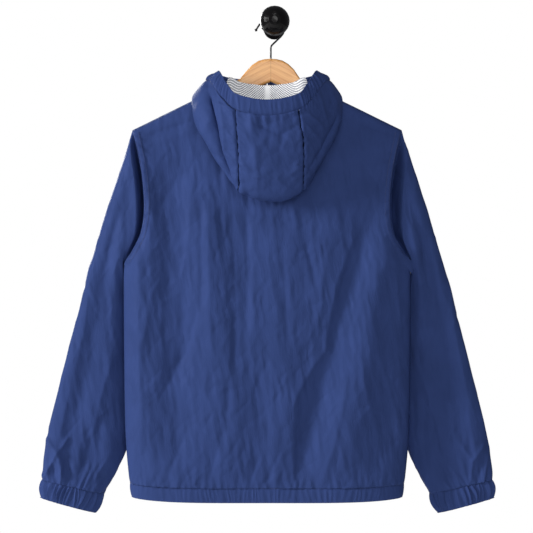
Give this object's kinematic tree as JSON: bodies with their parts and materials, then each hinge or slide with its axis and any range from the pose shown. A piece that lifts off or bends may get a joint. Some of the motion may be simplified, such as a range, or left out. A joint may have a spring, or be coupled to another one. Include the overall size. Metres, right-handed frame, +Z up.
{
  "type": "hooded windbreaker jacket on a wooden hanger and wall peg",
  "caption": "Hooded zip-front windbreaker with gathered cuffs and hem, hanging on a wooden coat hanger from a ball-ended wall peg.",
  "frame": {"origin": "centre of the wall peg's flat wall face, where it is held", "axes": "+Z up, +Y from the jacket's back into the wall, +X to the wearer's right; the jacket's back faces -Y"},
  "size_m": [0.7772, 0.1806, 0.8622],
  "materials": {
    "nylon": "plain woven nylon taffeta, dark blue, soft sheen",
    "nylon_casing": "the same nylon, gathered over elastic",
    "mesh_lining": "white knitted polyester mesh, matte",
    "zip_tape": "dark blue woven tape with moulded teeth",
    "zip_metal": "dark nickel, satin",
    "hanger_wood": "light beech, clear satin varnish",
    "hook_wire": "steel wire, black coating",
    "peg_black": "black gloss lacquer"
  },
  "bodies": {
    "jacket": {"back": "nylon", "front_left": "nylon", "front_right": "nylon", "sleeve_left": "nylon", "sleeve_right": "nylon", "hood_centre": "nylon", "hood_side_left": "nylon", "hood_side_right": "nylon", "hem_band": "nylon_casing", "cuff_left": "nylon_casing", "cuff_right": "nylon_casing", "hood_casing": "nylon_casing", "hood_lining": "mesh_lining", "zip_tape_left": "zip_tape", "zip_tape_right": "zip_tape", "zip_slider": "zip_metal", "hanger_arm_left": "hanger_wood", "hanger_arm_right": "hanger_wood", "hanger_hook": "hook_wire", "wall_peg": "peg_black"},
    "pull_tab": {"zip_pull": "zip_metal"}
  },
  "joints": [
    {"name": "pull_swing", "type": "hinge", "parent": "jacket", "child": "pull_tab", "pos_m": [-0.0126, -0.0297, -0.20679], "axis": [1, 0, 0], "range_deg": [0, 120]}
  ]
}
